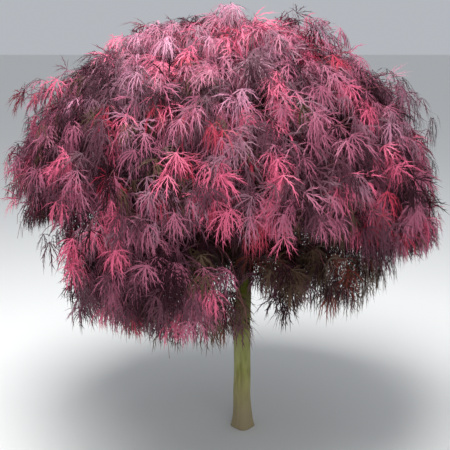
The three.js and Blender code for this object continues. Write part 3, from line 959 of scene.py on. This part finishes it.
def stalk_shape(leaves):
    """Flat stalks from the shoots to the blades."""
    half = np.cross(leaves["facing"], unit(leaves["middle"] - leaves["node"])) * STALK_HALF
    corners = [
        leaves["node"] - half,
        leaves["node"] + half,
        leaves["middle"] + half,
        leaves["middle"] - half,
    ]
    points = np.stack(corners, axis=1).reshape(-1, 3)
    return points, repeated(np.array([(0, 1, 2), (0, 2, 3)]), len(leaves["node"]), 4)


def shoot_tips(plan, random):
    """The tips of a mass's outer shoots, its inner ones, and those that stand out of it."""
    tier = plan["tier"]
    outer = spaced_places(plan, SHOOTS[tier], SHOOT["gap"], SHOOT["deep"], random)
    inner_count = round(INNER_SHARES[tier] * SHOOTS[tier])
    inner_deep = NEAR_TRUNK if tier == "low" else INNER_DEEP
    inner = spaced_places(plan, inner_count, SHOOT["gap"], inner_deep, random)
    strays = spaced_places(plan, STRAYS[tier], SHOOT["gap"], STRAY_DEEP, random)
    strays = np.vstack([strays, sprigs_of(plan)])
    return outer, inner, strays[in_box(strays)]


def grow_mass(plan, ends, patches, seed):
    """The twigs and leaves of one mass."""
    random = np.random.default_rng(seed)
    stem = stem_path(plan, ends)[None]
    fork_count = BRANCHLETS[plan["tier"]]
    forks = spaced_places(plan, fork_count, BRANCHLET["gap"], BRANCHLET["deep"], random)
    branchlets = twigs_from(stem, forks, BRANCHLET, random)
    kinds = shoot_tips(plan, random)
    counts = [len(tips) for tips in kinds]
    tips = np.vstack(kinds)
    common, stray = TIP_DEPTHS
    deepest = np.repeat((common, common, stray), counts)
    breadths = np.repeat((1, INNER_BREADTH, 1), counts)
    shoots = twigs_from(branchlets, tips, SHOOT, random)
    shades = spray_shades(plan, tips, patches, random)
    wood = ((stem, STEM), (branchlets, BRANCHLET), (shoots, SHOOT))
    twigs = joined([
        tubes(paths, taper(kind["radii"], len(paths), kind["rings"]), kind["sides"])
        for paths, kind in wood
    ])
    return twigs, leaves_on(plan, shoots, shades, deepest, breadths, random)


# Putting the plant together

def dress_wood(plans):
    bark = bark_material("trunk_bark", BARK, (BARK_FOOT, BARK_HEAD_SHADE))
    make_piece("trunk_bark", trunk_shape(), bark, ["trunk"])
    wood = bark_material("bough_bark", BOUGH_BARK)
    for name, kinds in BOUGH_PIECES.items():
        chosen = [plan for plan in plans if plan["kind"] in kinds]
        make_piece(name, bough_shape(chosen), wood, [plan["name"] for plan in chosen])


def grown_masses(boughs):
    """The plan, the twigs and the leaves of every mass."""
    ends = {}
    for plan in boughs:
        path = curve_points(plan["stops"], FINE_POINTS)
        ends[plan["name"]] = (path[-1], unit(path[-1] - path[-2]))
    patches = fresh_patches()
    return [
        (plan, *grow_mass(plan, ends, patches, SEEDS["first_mass"] + SEED_STEP * i))
        for i, plan in enumerate(mass_plans())
    ]


def dress_foliage(boughs):
    grown = grown_masses(boughs)
    twig_material = plain_material("twig_bark", **TWIG_LOOK)
    leaf_materials = [
        plain_material(f"leaf_{shade}", colour, LEAF_ROUGHNESS, SHINE.get(shade, COMMON_SHINE))
        for shade, colour in SHADES.items()
    ]
    for group, facts in GROUPS.items():
        members = [mass for mass in grown if mass[0]["tier"] in facts["tiers"]]
        plans, twigs, batches = zip(*members)
        nodes = [plan["name"] for plan in plans]
        make_piece(f"{group}_twigs", joined(twigs), twig_material, nodes)
        leaves = merged(batches)
        for number, shade in enumerate(SHADES):
            chosen = leaves["shade"] == number
            if not chosen.any():
                continue
            some = {key: values[chosen] for key, values in leaves.items()}
            shape = leaf_shape(some, np.random.default_rng(number))
            make_piece(f"{group}_leaves_{shade}", shape, leaf_materials[number], nodes)


# The studio

def make_studio():
    bpy.ops.mesh.primitive_plane_add(size=FLOOR_SIZE)
    floor = bpy.context.object
    floor.name = "floor"
    floor.data.materials.append(plain_material("floor", **FLOOR_LOOK))
    world = bpy.data.worlds.new("studio")
    world.use_nodes = True
    for key, value in SKY.items():
        world.node_tree.nodes["Background"].inputs[key].default_value = value
    bpy.context.scene.world = world
    bpy.context.scene.view_settings.view_transform = "Standard"


def make_light(name, place, size, power):
    """A soft square light that looks at the crown."""
    light = bpy.data.lights.new(name, "AREA")
    light.size = size
    light.energy = power
    lamp = bpy.data.objects.new(name, light)
    lamp.location = place
    to_crown = Vector((0, 0, HEART)) - Vector(place)
    lamp.rotation_euler = to_crown.to_track_quat("-Z", "Y").to_euler()
    bpy.context.scene.collection.objects.link(lamp)


def make_camera():
    camera = bpy.data.objects.new("camera", bpy.data.cameras.new("camera"))
    camera.data.lens = CAMERA["lens"]
    camera.location = CAMERA["place"]
    camera.rotation_euler = (math.radians(90 - CAMERA["tilt"]), 0, 0)
    bpy.context.scene.collection.objects.link(camera)
    bpy.context.scene.camera = camera


make_studio()
for light in LIGHTS:
    make_light(**light)
make_camera()
boughs = bough_plans()
dress_wood(boughs)
dress_foliage(boughs)
